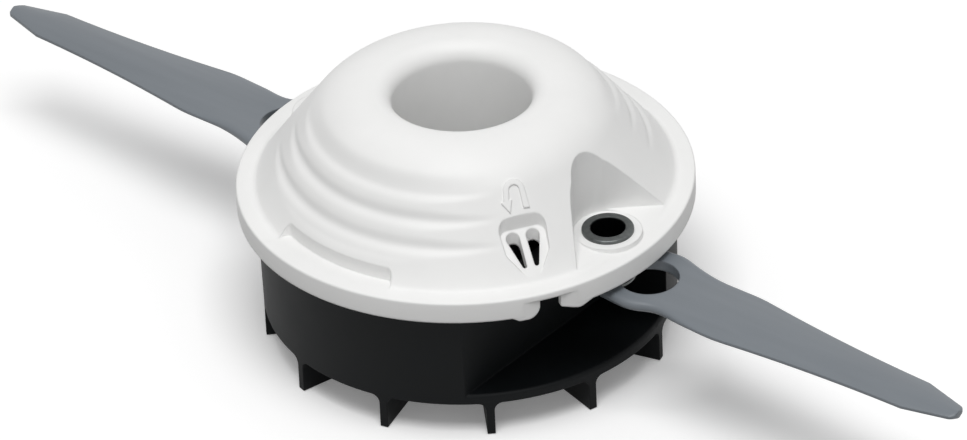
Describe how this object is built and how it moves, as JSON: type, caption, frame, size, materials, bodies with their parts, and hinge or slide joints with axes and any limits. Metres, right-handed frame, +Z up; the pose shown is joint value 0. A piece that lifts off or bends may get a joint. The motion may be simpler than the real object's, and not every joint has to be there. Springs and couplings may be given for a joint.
{
  "type": "trimmer head with swinging blades",
  "caption": "Round cutting head for a small grass trimmer: a domed glide cap on a finned drum, with free-swinging plastic blades held by hollow rivets.",
  "frame": {"origin": "on the head's axis, in the plane of the fin tips that it stands on", "axes": "+Z up the head's axis from the machine side to the glide dome, +X along the front blade"},
  "size_m": [0.2564, 0.096, 0.0578],
  "materials": {
    "cap_plastic": "fine satin",
    "body_plastic": "satin",
    "blade_plastic": "satin",
    "eyelet_steel": "dark plated",
    "insert_steel": "machined"
  },
  "bodies": {
    "head": {"cap": "cap_plastic", "body": "body_plastic", "drive_insert": "insert_steel", "pivot_eyelet_front": "eyelet_steel", "pivot_eyelet_rear": "eyelet_steel"},
    "front_blade": {"blade_front": "blade_plastic"},
    "rear_blade": {"blade_rear": "blade_plastic"}
  },
  "joints": [
    {"name": "front_blade_swing", "type": "hinge", "parent": "head", "child": "front_blade", "pos_m": [0.0382, 0, 0.0282], "axis": [0, 0, 1], "range_deg": [-85, 25]},
    {"name": "rear_blade_swing", "type": "hinge", "parent": "head", "child": "rear_blade", "pos_m": [-0.0382, 0, 0.0282], "axis": [0, 0, 1], "range_deg": [-85, 25]}
  ]
}
